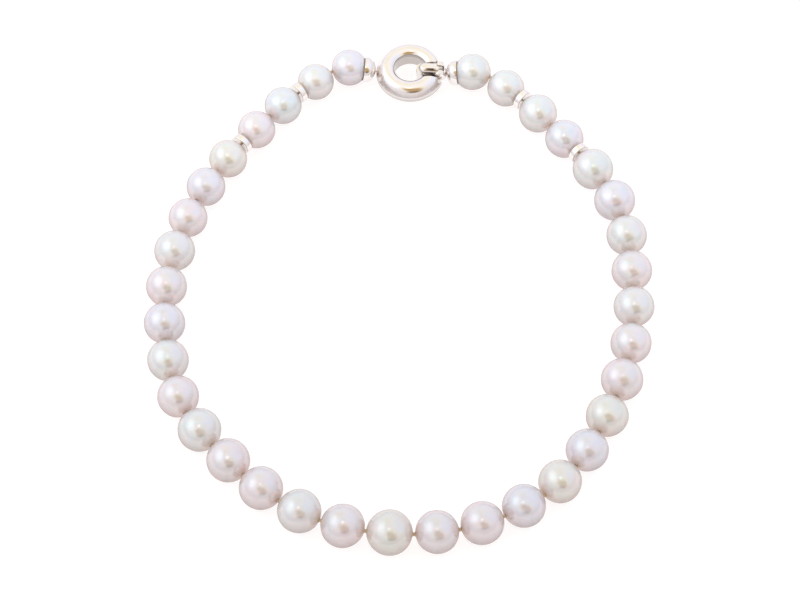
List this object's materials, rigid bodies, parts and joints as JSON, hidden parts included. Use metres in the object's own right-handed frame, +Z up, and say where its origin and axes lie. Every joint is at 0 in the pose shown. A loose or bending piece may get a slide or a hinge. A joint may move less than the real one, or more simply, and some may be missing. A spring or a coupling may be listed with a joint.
{
  "type": "single strand pearl necklace",
  "caption": "Graduated single strand of large white pearls with polished metal rondelles and a polished ring clasp with a hinged tongue, lying in a loop.",
  "frame": {"origin": "on the table, under the middle of the loop's outline", "axes": "+Z up from the table; +Y towards the clasp; +X towards the side of the clasp that carries the hook"},
  "size_m": [0.1348, 0.1606, 0.012],
  "materials": {
    "nacre": "silvery white pearl nacre with a soft deep lustre and faint pink, green and lavender overtones",
    "rondelle_metal": "polished white metal band with fine handling marks",
    "clasp_metal": "mirror polished white metal with slightly warm reflections",
    "silk": "twisted cream silk thread"
  },
  "bodies": {
    "strand": {"pearl_01": "nacre", "pearl_02": "nacre", "pearl_03": "nacre", "pearl_04": "nacre", "pearl_05": "nacre", "pearl_06": "nacre", "pearl_07": "nacre", "pearl_08": "nacre", "pearl_09": "nacre", "pearl_10": "nacre", "pearl_11": "nacre", "pearl_12": "nacre", "pearl_13": "nacre", "pearl_14": "nacre", "pearl_15": "nacre", "pearl_16": "nacre", "pearl_17": "nacre", "pearl_18": "nacre", "pearl_19": "nacre", "pearl_20": "nacre", "pearl_21": "nacre", "pearl_22": "nacre", "pearl_23": "nacre", "pearl_24": "nacre", "pearl_25": "nacre", "pearl_26": "nacre", "pearl_27": "nacre", "pearl_28": "nacre", "pearl_29": "nacre", "pearl_30": "nacre", "pearl_31": "nacre", "pearl_32": "nacre", "pearl_33": "nacre", "pearl_34": "nacre", "pearl_35": "nacre", "rondelle_1": "rondelle_metal", "rondelle_2": "rondelle_metal", "rondelle_3": "rondelle_metal", "rondelle_4": "rondelle_metal", "clasp_ring": "clasp_metal", "clasp_hook": "clasp_metal", "silk_thread": "silk"},
    "tongue": {"clasp_tongue": "clasp_metal"}
  },
  "joints": [
    {"name": "tongue_hinge", "type": "hinge", "parent": "strand", "child": "tongue", "pos_m": [0.01118, 0.07028, 0.00525], "axis": [0.0448, 0.999, 0], "range_deg": [0, 70]}
  ]
}
